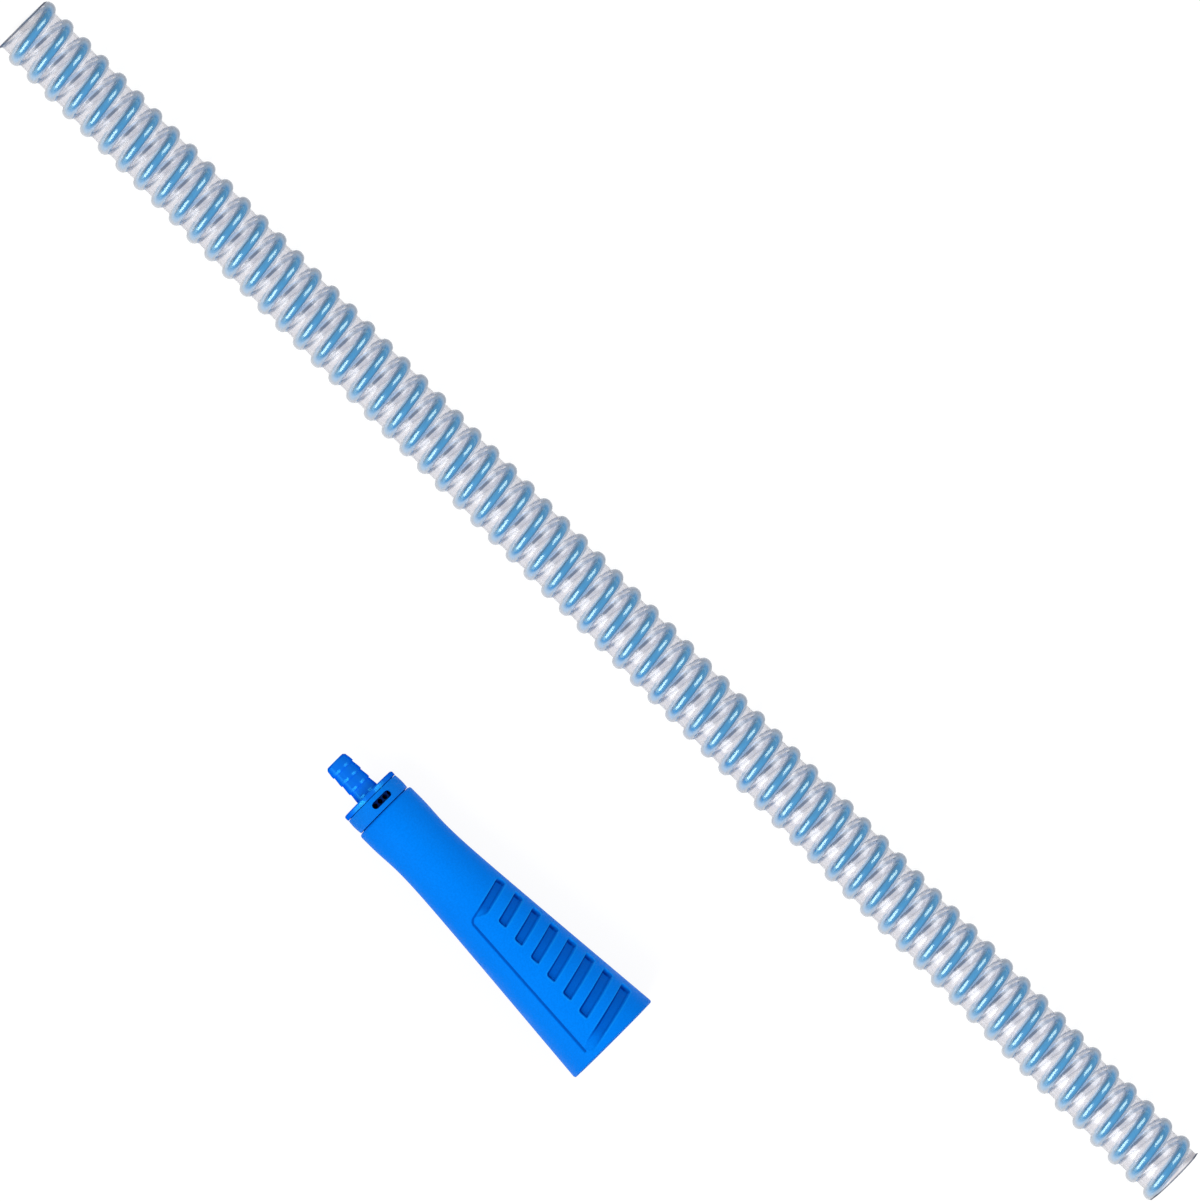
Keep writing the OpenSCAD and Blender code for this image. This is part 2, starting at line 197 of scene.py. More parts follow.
# --- The adapter's body ---
# Stations are distances along its axis from the front face, and azimuths are turned from UP to ACROSS
FRONT = np.array([-1.2311, -54.2677, 13.4551])
TILT = math.radians(3.3966)
AXIS = np.array([math.cos(TILT), 0, math.sin(TILT)])
UP = np.array([-math.sin(TILT), 0, math.cos(TILT)])
ACROSS = np.array([0, 1, 0])
SHOULDER_R, SHOULDER_LENGTH, SHOULDER_ROUND = 13.55, 6.0, 1.2
WAIST_R, WAIST_STATION = 12.95, 20.8
BODY_LENGTH = 124.6
FLARE_SLOPE, FLARE_SOFTNESS = 0.0860274, 1.04
MOUTH_ROUND = 1.0
# The outside keeps this far inside the solid's own rim
FACET_MARGIN = 0.015
# The spigot's flange ends here, and the ring starts
FLANGE_BACK = -7.2

# The grip panels: slots that lean, and a shallow border along their lower side
GRIP_SLOTS, GRIP_START, GRIP_END = 8, 48.8, 111.6
GRIP_FIRST_W, GRIP_LAST_W = 4.0, 4.6
GRIP_DEPTH = 1.8
GRIP_SLANT = math.tan(math.radians(12.5))
GRIP_AZIMUTH = 17.0
GRIP_TOP_ANGLE = 48.0
GRIP_ROUND = 1.3
# The border groove's depth and width, and the painted shade along it
GROOVE_DEPTH, GROOVE_W, GROOVE_SHADE = 0.55, 0.9, 0.62
GROOVE_FIRST_ANGLE, GROOVE_LAST_ANGLE = 45.0, 51.0
GROOVE_LAND = 7.5
LAST_SLOT = GRIP_SLOTS - 1
PANEL_END = GRIP_END + GRIP_LAST_W
# No panel reaches past these
PANEL_REACH = math.radians(70)
PANEL_FIRST_STATION = 40
# A slot's walls run over these widths, the left one steep and the right one sloping
STEEP_WALL, SLOPING_WALL = 0.55, 1.1
# They start this far outside its rim
RIM_LIFT = 0.2
# Shares of the slot's width over which the wall turns from steep to sloping, and its painted shade with
# it
WALL_TURNS, TONE_TURNS = (0.35, 0.75), (0.35, 0.7)
# Where its rim has painted shade, and where it has a painted highlight, as distances outside it over
# which each comes and goes. Its ends have painted shade this close to them, where it has at least this
# share of its depth
DARK_COMES, DARK_GOES = (0.1, -0.15), (-0.4, -0.8)
LIGHT_COMES, LIGHT_GOES = (0.05, 0.2), (0.65, 0.3)
END_REACH, FULL_SHARE = (1.4, 0.5), 0.99

# The mesh's rows lean with the slots from this station on and down to this sine of the turn, and
# stand straight again between these two turns in degrees
LEAN_START, LEAN_LOWEST, LEAN_FADE = 34, -0.8, (53, 88)
# Columns are denser over the panels, within this many degrees of their middle lines
COLUMNS, INSIDE_COLUMNS = 384, 96
DENSE_REACH, DENSE_WEIGHT = 57, 2.2

# The inside from the mouth to the front face, as stations and radii
INSIDE_PROFILE = [
    # The mouth's chamfer and the socket for the vacuum's tube
    (124.6, 17.2), (124.45, 16.85), (123.8, 16.25), (123.5, 16.02), (102.3, 16.0), (101.9, 15.9),
    # The ledge and the hose's socket
    (101.737, 15.6), (101.737, 14.4), (101.6, 14.15), (101.2, 14.0), (78.5, 14.0), (78.2, 13.9),
    # The second ledge and the throat
    (78.125, 13.7), (78.125, 12.8), (78.0, 12.6), (34.6, 10.05), (34.2, 10.0), (14.4, 10.0),
    # The neck's pocket
    (14.25, 10.15), (14.2, 10.4), (14.2, 11.25), (0.3, 11.25), (0.0, 11.5),
]


def flare_r(station):
    rise = FLARE_SLOPE * (station - WAIST_STATION)
    return WAIST_R - FLARE_SOFTNESS + np.sqrt(rise ** 2 + FLARE_SOFTNESS ** 2)


RIM_R = float(flare_r(BODY_LENGTH - MOUTH_ROUND))


def body_r(station):
    """Radius of the body's outside, from the front face to the mouth."""
    station = np.asarray(station, dtype=float)
    fall = np.clip((station - SHOULDER_LENGTH) / (WAIST_STATION - SHOULDER_LENGTH), 0, 1)
    shoulder = WAIST_R + (SHOULDER_R - WAIST_R) * (1 + np.cos(np.pi * fall)) / 2
    radius = np.where(station < WAIST_STATION, shoulder, flare_r(station))
    into = np.clip(SHOULDER_ROUND - station, 0, SHOULDER_ROUND)
    radius = radius - (SHOULDER_ROUND - np.sqrt(SHOULDER_ROUND ** 2 - into ** 2))
    past = np.clip(station - (BODY_LENGTH - MOUTH_ROUND), 0, MOUTH_ROUND)
    rounded = RIM_R - (MOUTH_ROUND - np.sqrt(MOUTH_ROUND ** 2 - past ** 2))
    return np.where(past > 0, rounded, radius)


def groove_side(station):
    """The border's distance from the panel's middle at a station. It runs straight."""
    first = -flare_r(GRIP_START) * math.sin(math.radians(GROOVE_FIRST_ANGLE))
    last = -flare_r(GRIP_END) * math.sin(math.radians(GROOVE_LAST_ANGLE))
    return first + (last - first) * (station - GRIP_START) / (GRIP_END - GRIP_START)


def slot_station(i):
    return GRIP_START + i * (GRIP_END - GRIP_START) / LAST_SLOT


def slot_width(i):
    return GRIP_FIRST_W + (GRIP_LAST_W - GRIP_FIRST_W) * i / LAST_SLOT


def slot_top(i):
    return flare_r(slot_station(i)) * math.sin(math.radians(GRIP_TOP_ANGLE))


def slot_foot(i):
    return groove_side(slot_station(i)) + GROOVE_LAND


def slot_wall(i, side, shift=0.0):
    """A point on a slot's left wall, moved right by shift, as station and distance from the middle."""
    return np.array([slot_station(i) + shift + (slot_top(i) - side) * GRIP_SLANT, side])


def rounded_outline(corners, radii):
    """The corners' outline with its own radius at each."""
    steps = 6
    points = []
    n = len(corners)
    for i, radius in enumerate(radii):
        a, p, b = corners[i - 1], corners[i], corners[(i + 1) % n]
        if radius <= 0:
            points.append(p)
            continue
        back, ahead = (a - p) / np.linalg.norm(a - p), (b - p) / np.linalg.norm(b - p)
        half = math.acos(float(np.clip(back @ ahead, -1, 1))) / 2
        middle = (back + ahead) / np.linalg.norm(back + ahead)
        centre = p + middle * radius / math.sin(half)
        start = p + back * radius / math.tan(half) - centre
        stop = p + ahead * radius / math.tan(half) - centre
        turn = math.atan2(start[1], start[0])
        sweep = (math.atan2(stop[1], stop[0]) - turn + 3 * math.pi) % (2 * math.pi) - math.pi
        for k in range(steps + 1):
            at = turn + sweep * k / steps
            points.append(centre + radius * np.array([math.cos(at), math.sin(at)]))
    return np.array(points)


FIRST_SIDE = groove_side(GRIP_START)
LAST_SIDE = groove_side(GRIP_END)

# The first and the last slots run on into the border. Their corners are heights above the border's
# line, where None is the slot's top, and shares of the slot's width
OPEN_SLOTS = {
    0: {
        "line": FIRST_SIDE,
        "corners": [(None, 0), (2, 0), (2, 0.2), (5.5, 1), (None, 1)],
        "radii": [1.2 * GRIP_ROUND, 0, 0, 2.5 * GRIP_ROUND, 0.9],
        "floor_share": 0.12,
        "floor_rise": (2.6, 8.5),
    },
    LAST_SLOT: {
        "line": LAST_SIDE,
        "corners": [(None, 0), (3, 0), (0.3, 0.25), (1.4, 0.95), (None, 1)],
        "radii": [0.5, 0.6, 0.3, 0.8 * GRIP_ROUND, GRIP_ROUND],
        "floor_share": 0.14,
        "floor_rise": (1.2, 10.5),
    },
}
SLOT_RADII = [0.5, GRIP_ROUND, 0.6, GRIP_ROUND]


def slot_outline(i):
    """A slot's rim."""
    w, top, foot = slot_width(i), slot_top(i), slot_foot(i)
    if i not in OPEN_SLOTS:
        corners = [slot_wall(i, top), slot_wall(i, foot), slot_wall(i, foot, w), slot_wall(i, top, w)]
        return rounded_outline(corners, SLOT_RADII)
    slot = OPEN_SLOTS[i]
    corners = [
        slot_wall(i, top if height is None else slot["line"] + height, share * w)
        for height, share in slot["corners"]
    ]
    return rounded_outline(corners, slot["radii"])


def floor_share(i, side):
    """The share of its full depth that a slot has. The open slots' floors rise towards the border."""
    if i not in OPEN_SLOTS:
        return 1.0
    slot = OPEN_SLOTS[i]
    near, far = slot["floor_rise"]
    rise = smoothstep(slot["line"] + near, slot["line"] + far, side)
    return slot["floor_share"] + (1 - slot["floor_share"]) * rise


def border_path():
    """The middle of the shallow border: down the first slot's left wall, then along the lower side."""
    inset, start_height, corner_radius = 0.4, 12, 1.9 * GRIP_ROUND
    start = slot_wall(0, FIRST_SIDE + start_height, inset)
    corner = slot_wall(0, FIRST_SIDE, inset)
    end = slot_wall(LAST_SLOT, LAST_SIDE, inset * slot_width(LAST_SLOT))
    return rounded_outline([start, corner, end], [0, corner_radius, 0])


def edge_distance(points, a, edge):
    """Distance of each point from the straight edge that starts at a."""
    t = np.clip(((points - a) @ edge) / (edge @ edge), 0, 1)
    return np.linalg.norm(points - a - t[:, None] * edge, axis=1)


def path_distance(points, path):
    """Distance of each point from an open path."""
    nearest = np.full(len(points), np.inf)
    for a, b in zip(path[:-1], path[1:]):
        nearest = np.minimum(nearest, edge_distance(points, a, b - a))
    return nearest


def outline_distance(points, outline):
    """Distance of each point from a closed outline, negative inside it."""
    nearest = np.full(len(points), np.inf)
    inside = np.zeros(len(points), dtype=bool)
    for a, b in zip(outline, np.roll(outline, -1, axis=0)):
        edge = b - a
        if edge @ edge < 1e-12:
            continue
        nearest = np.minimum(nearest, edge_distance(points, a, edge))
        crosses = (a[1] > points[:, 1]) != (b[1] > points[:, 1])
        if a[1] != b[1]:
            at = a[0] + (points[:, 1] - a[1]) * edge[0] / edge[1]
            inside ^= crosses & (points[:, 0] < at)
    return np.where(inside, -nearest, nearest)


def slot_relief(i, at):
    """A slot's depth at points on the unrolled panel, its painted shade, and the painted highlight on
    its rim.
    """
    side = at[:, 1]
    distance = outline_distance(at, slot_outline(i))
    left = slot_station(i) + (slot_top(i) - side) * GRIP_SLANT
    over = np.clip((at[:, 0] - left) / slot_width(i), 0, 1)
    wall = STEEP_WALL + (SLOPING_WALL - STEEP_WALL) * smoothstep(*WALL_TURNS, over)
    fall = smoothstep(0, 1, (RIM_LIFT - distance) / wall)
    share = floor_share(i, side)
    # Painted shade on the floor, and along the rim of the steep wall and of a full slot's ends
    rim = smoothstep(*DARK_COMES, distance) * (1 - smoothstep(*DARK_GOES, distance))
    steep = 1 - smoothstep(*TONE_TURNS, over)
    from_ends = np.minimum(np.abs(side - slot_top(i)), np.abs(side - slot_foot(i)))
    ends = smoothstep(*END_REACH, from_ends) * (share > FULL_SHARE)
    dark = share * (0.5 * smoothstep(0.2, 0.9, fall) + 0.5 * rim * np.maximum(steep, ends))
    # The painted highlight along the rim
    light = share * smoothstep(*LIGHT_COMES, distance) * smoothstep(*LIGHT_GOES, distance)
    return GRIP_DEPTH * fall * share, dark, light


def grip_relief(station, azimuth):
    """Depth sunk into the body, and its painted tone from -1, a painted highlight on a rim, to 1,
    painted shade on a deep wall.
    """
    depth, shade = np.zeros(station.shape), np.zeros(station.shape)
    for middle in (GRIP_AZIMUTH, GRIP_AZIMUTH + 180):
        turn = np.radians((azimuth - middle + 180) % 360 - 180)
        near = (np.abs(turn) < PANEL_REACH) & (station > PANEL_FIRST_STATION)
        side = flare_r(station) * np.sin(turn)
        at = np.stack([station[near], side[near]], axis=-1)
        sunk, dark, light = np.zeros((3, len(at)))
        for i in range(GRIP_SLOTS):
            slot = slot_relief(i, at)
            sunk, dark, light = (np.maximum(a, b) for a, b in zip((sunk, dark, light), slot))
        # The border is in units of its own width
        off = path_distance(at, border_path()) / GROOVE_W
        sunk = np.maximum(sunk, GROOVE_DEPTH * smoothstep(0.7, 0.15, off))
        # Painted shade along the border groove
        dark = np.maximum(dark, GROOVE_SHADE * smoothstep(0.6, 0.25, off))
        # A rim gets its painted highlight only where no wall has painted shade
        depth[near], shade[near] = sunk, np.where(dark > 0.02, dark, -light)
    return depth, shade


def body_rows():
    """Stations of the body's rows, closer together where walls and roundings are."""
    plain_end, panel_start, panel_end = 44, GRIP_START - 1, PANEL_END + 1
    plain_rows, mouth_rows = 44, 14
    approach_step, panel_step, closest = 0.5, 0.33, 0.09
    wall_steps = (-0.3, -0.15, 0.0, 0.15, 0.3, 0.45)
    mouth = BODY_LENGTH - MOUTH_ROUND
    quarter = np.linspace(0, np.pi / 2, 8)
    rows = list(SHOULDER_ROUND * (1 - np.cos(quarter)))
    rows += list(np.linspace(SHOULDER_ROUND, plain_end, plain_rows)[1:])
    rows += list(np.arange(plain_end + approach_step, panel_start, approach_step))
    rows += list(np.arange(panel_start, panel_end, panel_step))
    rows += list(np.linspace(panel_end, mouth, mouth_rows))
    for i in range(GRIP_SLOTS):
        rows += [slot_station(i) + offset for offset in wall_steps]
    rows += list(mouth + MOUTH_ROUND * np.sin(quarter))
    rows = np.unique(np.round(rows, 3))
    return rows[np.concatenate([[True], np.diff(rows) > closest])]


def leaning_station(base, turn):
    """Where a row lies at a turn, in radians, from the panel's middle: rows lean with the slots."""
    top = math.sin(math.radians(GRIP_TOP_ANGLE))
    side = np.maximum(np.sin(turn), LEAN_LOWEST)
    round_it = 1 - smoothstep(*LEAN_FADE, np.abs(np.degrees(turn)))
    mouth = BODY_LENGTH - MOUTH_ROUND
    before = np.clip((base - LEAN_START) / (GRIP_START - LEAN_START), 0, 1)
    after = np.clip((mouth - base) / (mouth - PANEL_END), 0, 1)
    station = base
    # The lean depends on the radius where the row ends up, so it is worked out three times
    for _ in range(3):
        lean = (flare_r(base) * top - flare_r(station) * side) * GRIP_SLANT * round_it
        station = base + lean * before * after
    return station


def panel_turn(azimuth):
    """Turn from the middle line of the nearer grip panel, in degrees."""
    first = (azimuth - GRIP_AZIMUTH + 180) % 360 - 180
    second = (azimuth - GRIP_AZIMUTH) % 360 - 180
    return np.where(np.abs(first) < 90, first, second)


def placed(station, radius, azimuth):
    """Points round the adapter's axis. The azimuth is in radians."""
    return (
        FRONT
        + station[..., None] * AXIS
        + (radius * np.cos(azimuth))[..., None] * UP
        + (radius * np.sin(azimuth))[..., None] * ACROSS
    ).reshape(-1, 3)


def joining_ring(outer_start, inner_start, inner_of):
    """Faces from a ring of the outside's points to the coarser ring of the inside's."""
    ring = []
    for j in range(COLUMNS):
        k = (j + 1) % COLUMNS
        a, b = inner_start + inner_of[j], inner_start + inner_of[k]
        outer = (outer_start + j, outer_start + k)
        ring.append((*outer, a) if a == b else (*outer, b, a))
    return ring


def make_adapter_body():
    """The body: shoulder, waist and flare with two sunk grip panels, a rounded mouth and its sockets."""
    rows = body_rows()
    weight_at = np.arange(0, 360, 0.25)
    weight = 1 + DENSE_WEIGHT * (np.abs(panel_turn(weight_at)) < DENSE_REACH)
    reach = np.cumsum(weight)
    azimuths = np.interp(np.arange(COLUMNS) / COLUMNS * reach[-1], reach - weight[0], weight_at)
    base, azimuth = np.meshgrid(rows, azimuths, indexing="ij")
    station = leaning_station(base, np.radians(panel_turn(azimuth)))
    depth, shade = grip_relief(station, azimuth)
    radius = np.minimum(body_r(station), RIM_R - FACET_MARGIN) - depth
    outside = placed(station, radius, np.radians(azimuth))

    inside_turns = 2 * np.pi * np.arange(INSIDE_COLUMNS) / INSIDE_COLUMNS
    inside_stations, inside_radii = np.array(INSIDE_PROFILE).T
    inside_station, inside_turn = np.meshgrid(inside_stations, inside_turns, indexing="ij")
    inside_radius = np.meshgrid(inside_radii, inside_turns, indexing="ij")[0]
    inside = placed(inside_station, inside_radius, inside_turn)

    first_in = len(outside)
    last_out = (len(rows) - 1) * COLUMNS
    last_in = first_in + (len(INSIDE_PROFILE) - 1) * INSIDE_COLUMNS
    inner_of = np.searchsorted(np.degrees(inside_turns), azimuths, side="right") - 1
    faces = flipped(band(len(rows), COLUMNS))
    faces += flipped(band(len(INSIDE_PROFILE), INSIDE_COLUMNS, first_in))
    # The mouth's rim and the front face
    faces += flipped(joining_ring(last_out, first_in, inner_of))
    faces += joining_ring(0, last_in, inner_of)
    body = mesh_object("adapter_shell", np.concatenate([outside, inside]), faces, MAIN_BODY)
    # The grip panels' painted shade and painted highlight ride on the mesh as its shade attribute
    tone = body.data.attributes.new("shade", "FLOAT", "POINT")
    tones = np.concatenate([shade.ravel(), np.zeros(len(inside))])
    tone.data.foreach_set("value", tones.astype(np.float32))
    return body


# --- Materials ---
class Graph:
    """A material and the nodes that are added to it."""

    def __init__(self, name):
        self.material = bpy.data.materials.new(name)
        self.material.use_nodes = True
        self.nodes = self.material.node_tree.nodes
        self.links = self.material.node_tree.links
        self.shader = self.nodes["Principled BSDF"]
        self.output = self.nodes["Material Output"].inputs["Surface"]

    def put(self, socket, value):
        """Links an output to a socket, or sets a number or a colour on it."""
        if isinstance(value, bpy.types.NodeSocket):
            self.links.new(value, socket)
        elif isinstance(value, tuple) and len(value) == 3 and socket.type == "RGBA":
            socket.default_value = (*value, 1)
        else:
            socket.default_value = value

    def math(self, operation, *values, clamp=False):
        node = self.nodes.new("ShaderNodeMath")
        node.operation = operation
        node.use_clamp = clamp
        for socket, value in zip(node.inputs, values):
            self.put(socket, value)
        return node.outputs[0]

    def mix(self, factor, a, b):
        node = self.nodes.new("ShaderNodeMix")
        node.data_type = "RGBA"
        self.put(node.inputs[0], factor)
        self.put(node.inputs[6], a)
        self.put(node.inputs[7], b)
        return node.outputs[2]

    def span(self, value, low, high, to_low=0.0, to_high=1.0):
        """Smooth steps from to_low to to_high as the value goes from low to high."""
        node = self.nodes.new("ShaderNodeMapRange")
        node.interpolation_type = "SMOOTHSTEP"
        for socket, part in zip(node.inputs, (value, low, high, to_low, to_high)):
            self.put(socket, part)
        return node.outputs[0]

    def between(self, value, edges):
        """1 between two edges, each a (from, to) pair over which it rises or falls."""
        rise, fall = edges
        return self.math("MULTIPLY", self.span(value, *rise), self.span(value, fall[1], fall[0]))

    def place(self):
        return self.nodes.new("ShaderNodeTexCoord").outputs["Object"]

    def noise(self, scale, detail, stretch=None):
        node = self.nodes.new("ShaderNodeTexNoise")
        node.inputs["Scale"].default_value = scale
        node.inputs["Detail"].default_value = detail
        vector = self.place()
        if stretch:
            mapping = self.nodes.new("ShaderNodeMapping")
            mapping.inputs["Scale"].default_value = stretch
            self.links.new(vector, mapping.inputs["Vector"])
            vector = mapping.outputs[0]
        self.links.new(vector, node.inputs["Vector"])
        return node.outputs["Fac"]

    def attribute(self, name):
        node = self.nodes.new("ShaderNodeAttribute")
        node.attribute_name = name
        return node.outputs["Fac"]

    def grazing(self):
        """0 where the surface faces the eye, 1 at its edge."""
        node = self.nodes.new("ShaderNodeLayerWeight")
        node.inputs["Blend"].default_value = 0.5
        return node.outputs["Facing"]

    def bump(self, height, distance, strength=1.0):
        node = self.nodes.new("ShaderNodeBump")
        node.inputs["Distance"].default_value = distance
        self.put(node.inputs["Strength"], strength)
        self.links.new(height, node.inputs["Height"])
        return node.outputs[0]

    def mix_shader(self, factor, a, b):
        node = self.nodes.new("ShaderNodeMixShader")
        self.put(node.inputs[0], factor)
        self.links.new(a, node.inputs[1])
        self.links.new(b, node.inputs[2])
        return node.outputs[0]

    def milk(self, clear, colour, density, roughness):
        """Clear plastic with a dull milk in it, of a colour and a density from 0 to 1."""
        self.put(self.shader.inputs["Base Color"], colour)
        self.shader.inputs["Roughness"].default_value = roughness
        self.shader.inputs["Specular IOR Level"].default_value = 0
        through = self.add("ShaderNodeBsdfTransparent", Color=clear)
        return self.mix_shader(density, through, self.shader.outputs[0])

    def add(self, kind, **values):
        node = self.nodes.new(kind)
        for name, value in values.items():
            self.put(node.inputs[name], value)
        return node.outputs[0]


def hose_place(g):
    """Distance from the left end, from the middle line and from the nearest crest, then the place
    across and above the middle line, all in millimetres."""
    split = g.nodes.new("ShaderNodeSeparateXYZ")
    g.links.new(g.place(), split.inputs[0])
    along = g.math("MULTIPLY_ADD", split.outputs[0], 1 / MM, -float(HOSE_START))
    y = g.math("MULTIPLY_ADD", split.outputs[1], 1 / MM, -float(HOSE_Y))
    z = g.math("MULTIPLY_ADD", split.outputs[2], 1 / MM, -float(HOSE_Z))
    turn = g.math("DIVIDE", g.math("ARCTAN2", z, y), 2 * math.pi)
    # The half puts a crest in the middle of each pitch, where the fraction has no jump
    pitches = g.math("MULTIPLY_ADD", along, 1 / PITCH, -FIRST_CREST / PITCH + 0.5)
    phase = g.math("FRACT", g.math("SUBTRACT", pitches, turn))
    off = g.math("MULTIPLY", g.math("SUBTRACT", phase, 0.5), PITCH)
    radius = g.math("SQRT", g.math("ADD", g.math("MULTIPLY", y, y), g.math("MULTIPLY", z, z)))
    return along, radius, off, y, z


# The hose's colours, in linear values
PINK_MILK = (0.74, 0.71, 0.75)
COVER_BLUE = (0.16, 0.37, 0.66)
CAP_BLUE = (0.50, 0.68, 0.87)
# The caps' rim: painted shade on the far side, painted light on the side towards the adapter
SHADED_RIM_SLATE = (0.50, 0.57, 0.68)
LIT_RIM_PALE = (0.72, 0.75, 0.80)
CUT_SLATE = (0.10, 0.13, 0.20)
BORE_MILK = (0.97, 0.96, 0.985)
BACK_BLUE = (0.52, 0.74, 1.0)
BACK_GREY = (0.52, 0.63, 0.78)
BACK_SHADE_NAVY = (0.035, 0.125, 0.26)
SAWN_DARK, SAWN_LIGHT = (0.16, 0.2, 0.3), (0.42, 0.44, 0.52)
ROD_BLUE, ROD_LIGHT = (0.038, 0.345, 0.715), (0.054, 0.385, 0.77)
ROD_SHADE = (0.09, 0.25, 0.40)
WALL_CLEAR, BORE_CLEAR = (0.94, 0.935, 0.945), (0.97, 0.965, 0.975)
WHITE_GLOSS, ROD_GLOSS = (1, 1, 1), (0.78, 1.0, 0.82)
# Where the wall's looks change, as distances from the crest in millimetres
COVER = ((-2.5, -1.5), (2.4, 3.6))
OVER_ROD = ((-1.3, -0.9), (1.9, 2.3))
FAR_ROD = ((-1.9, -1.4), (1.9, 2.3))
FAR_GLOW = ((-2.4, -1.5), (-0.5, 0.0))
FAR_SHADE_LINE = ((-0.75, -0.4), (0.4, 0.8))
# How far the far side's painted shade line is bent, in millimetres along for each millimetre across
FAR_BEND = 0.13
# How dense the milk is, from 0 to 1: in the whole wall and in its clouds, on the rod's flanks
# straight on and what the slope adds, at the silhouette, in the caps, and at both ends
WALL_MILK, WALL_CLOUDS = 0.05, 0.12
FLANK_MILK, FLANK_SLOPE = 0.34, 0.16
SILHOUETTE_MILK = 0.26
CAP_MILK = 0.85
CUT_MILK, RIGHT_END_MILK = 0.8, 0.6
# The share of it that is missing over the rod
ROD_WINDOW = 0.96
BORE_HAZE, BORE_CLOUDS = 0.03, 0.08
FAR_ROD_MILK, FAR_GLOW_MILK = 0.97, 0.5


def clear_outside_material():
    """Clear soft plastic: milky between the strokes, bluish over the rod, glossy all over."""
    g = Graph("clear_wall")
    along, radius, off, y = hose_place(g)[:4]
    cloud = g.noise(260, 3)
    edge = g.grazing()
    cover = g.between(off, COVER)
    slope = g.span(edge, 0.12, 0.55)
    halo = g.math("MULTIPLY", cover, g.math("MULTIPLY_ADD", slope, FLANK_SLOPE, FLANK_MILK))
    from_end = g.math("MINIMUM", along, g.math("SUBTRACT", HOSE_LENGTH, along))
    cut = g.span(from_end, 0.75, 0.42)
    # The right end's rim has only one wall behind it, so it is milkier
    right_end = g.span(along, HOSE_LENGTH - 2.6, HOSE_LENGTH - 1.5)
    # At the silhouette there is more of the plastic to look through. The caps carry painted light: on
    # the side towards the adapter they are painted paler and reach further in, and on the far side their
    # rim is painted shade
    crest = g.span(radius, WALL_R, WALL_R + 0.5)
    reach = g.math("MULTIPLY_ADD", g.span(y, -5.0, -10.0), 0.1, edge)
    cap = g.math("MULTIPLY", crest, g.span(reach, 0.28, 0.58))
    rim = g.mix(g.span(y, 8.0, -8.0), SHADED_RIM_SLATE, LIT_RIM_PALE)
    silhouette = g.span(edge, 0.34, 0.75)

    colour = g.mix(cover, PINK_MILK, COVER_BLUE)
    colour = g.mix(cap, colour, g.mix(g.span(edge, 0.42, 0.72), CAP_BLUE, rim))
    colour = g.mix(cut, colour, CUT_SLATE)
    density = g.math("MULTIPLY_ADD", cloud, WALL_CLOUDS, WALL_MILK)
    density = g.math("MULTIPLY_ADD", right_end, RIGHT_END_MILK, density)
    density = g.math("MAXIMUM", density, halo)
    # It is all but clear over the rod, where that faces the eye
    facing_rod = g.math("MULTIPLY", g.between(off, OVER_ROD), g.span(edge, 0.62, 0.18))
    density = g.math("MULTIPLY", density, g.math("MULTIPLY_ADD", facing_rod, -ROD_WINDOW, 1.0))
    density = g.math("MULTIPLY_ADD", silhouette, SILHOUETTE_MILK, density)
    density = g.math("MAXIMUM", density, g.math("MULTIPLY", cap, CAP_MILK))
    density = g.math("MAXIMUM", density, g.math("MULTIPLY", cut, CUT_MILK), clamp=True)
    body = g.milk(WALL_CLEAR, colour, density, 0.4)

    # The cover over the rod is polished by drawing, and the flat wall between is softer
    polish = g.span(radius, WALL_R + 1.0, WALL_R + 1.9)
    roughness = g.math("MULTIPLY_ADD", polish, -0.11, g.math("MULTIPLY_ADD", cloud, 0.10, 0.21))
    grain_strength = g.math("MULTIPLY_ADD", polish, -0.28, 0.32)
    grain = g.bump(g.noise(420, 3, (0.3, 1, 1)), 0.00012, grain_strength)
    # Over the rod the gloss takes on a little of its colour
    tinted = g.math("MULTIPLY", polish, g.span(edge, 0.5, 0.3))
    tint = g.mix(tinted, WHITE_GLOSS, ROD_GLOSS)
    gloss = g.add("ShaderNodeBsdfGlossy", Color=tint, Roughness=roughness, Normal=grain)
    # The share that it mirrors: a little straight on, and all of it at the very edge
    straight = g.math("MULTIPLY_ADD", polish, 0.045, 0.105)
    straight = g.math("MULTIPLY", straight, g.span(edge, 0.38, 0.27, 0.2, 1.0))
    mirrored = g.math("MAXIMUM", straight, g.math("POWER", edge, 7.0))
    dull = g.math("MAXIMUM", g.math("MULTIPLY", cut, 0.8), g.math("MULTIPLY", right_end, 0.55))
    share = g.math("MULTIPLY", mirrored, g.math("SUBTRACT", 1.0, dull))
    g.links.new(g.mix_shader(share, body, gloss), g.output)
    return g.material


